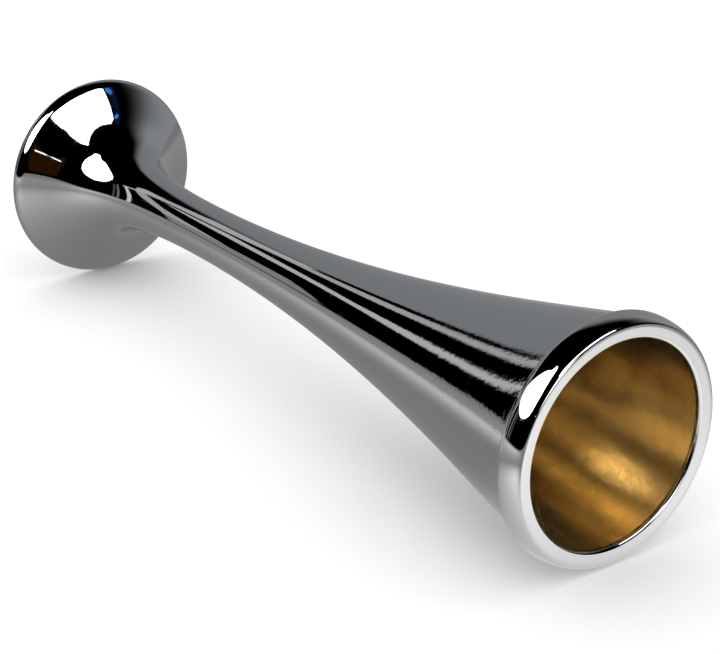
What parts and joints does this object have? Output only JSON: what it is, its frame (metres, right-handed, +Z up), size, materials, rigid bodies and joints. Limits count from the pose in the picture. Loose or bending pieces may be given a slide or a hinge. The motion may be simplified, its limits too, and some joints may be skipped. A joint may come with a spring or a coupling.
{
  "type": "pinard horn",
  "caption": "Trumpet-shaped metal listening horn: round dished ear plate, slim hollow stem flaring to a bell with a beaded rim. The ear plate pulls off.",
  "frame": {"origin": "centre of the underside of the object's box: on the surface it lies on, under the middle of its length", "axes": "+X along the horn's axis of symmetry, which runs 23.8 mm above the origin, from the ear plate towards the bell's mouth; +Z up, as it lies on a table"},
  "size_m": [0.182, 0.0476, 0.0476],
  "materials": {
    "plated_brass": "mirror chrome plating outside, bare cast brass inside the bell",
    "chrome_rim": "mirror chrome plating on brass",
    "chrome_plate": "mirror chrome plating on brass"
  },
  "bodies": {
    "horn": {"horn": "plated_brass", "bell_rim": "chrome_rim"},
    "ear_plate": {"ear_plate": "chrome_plate"}
  },
  "joints": [
    {"name": "ear_plate_pull", "type": "slide", "parent": "horn", "child": "ear_plate", "axis": [-1, 0, 0], "range_m": [0, 0.02]}
  ]
}
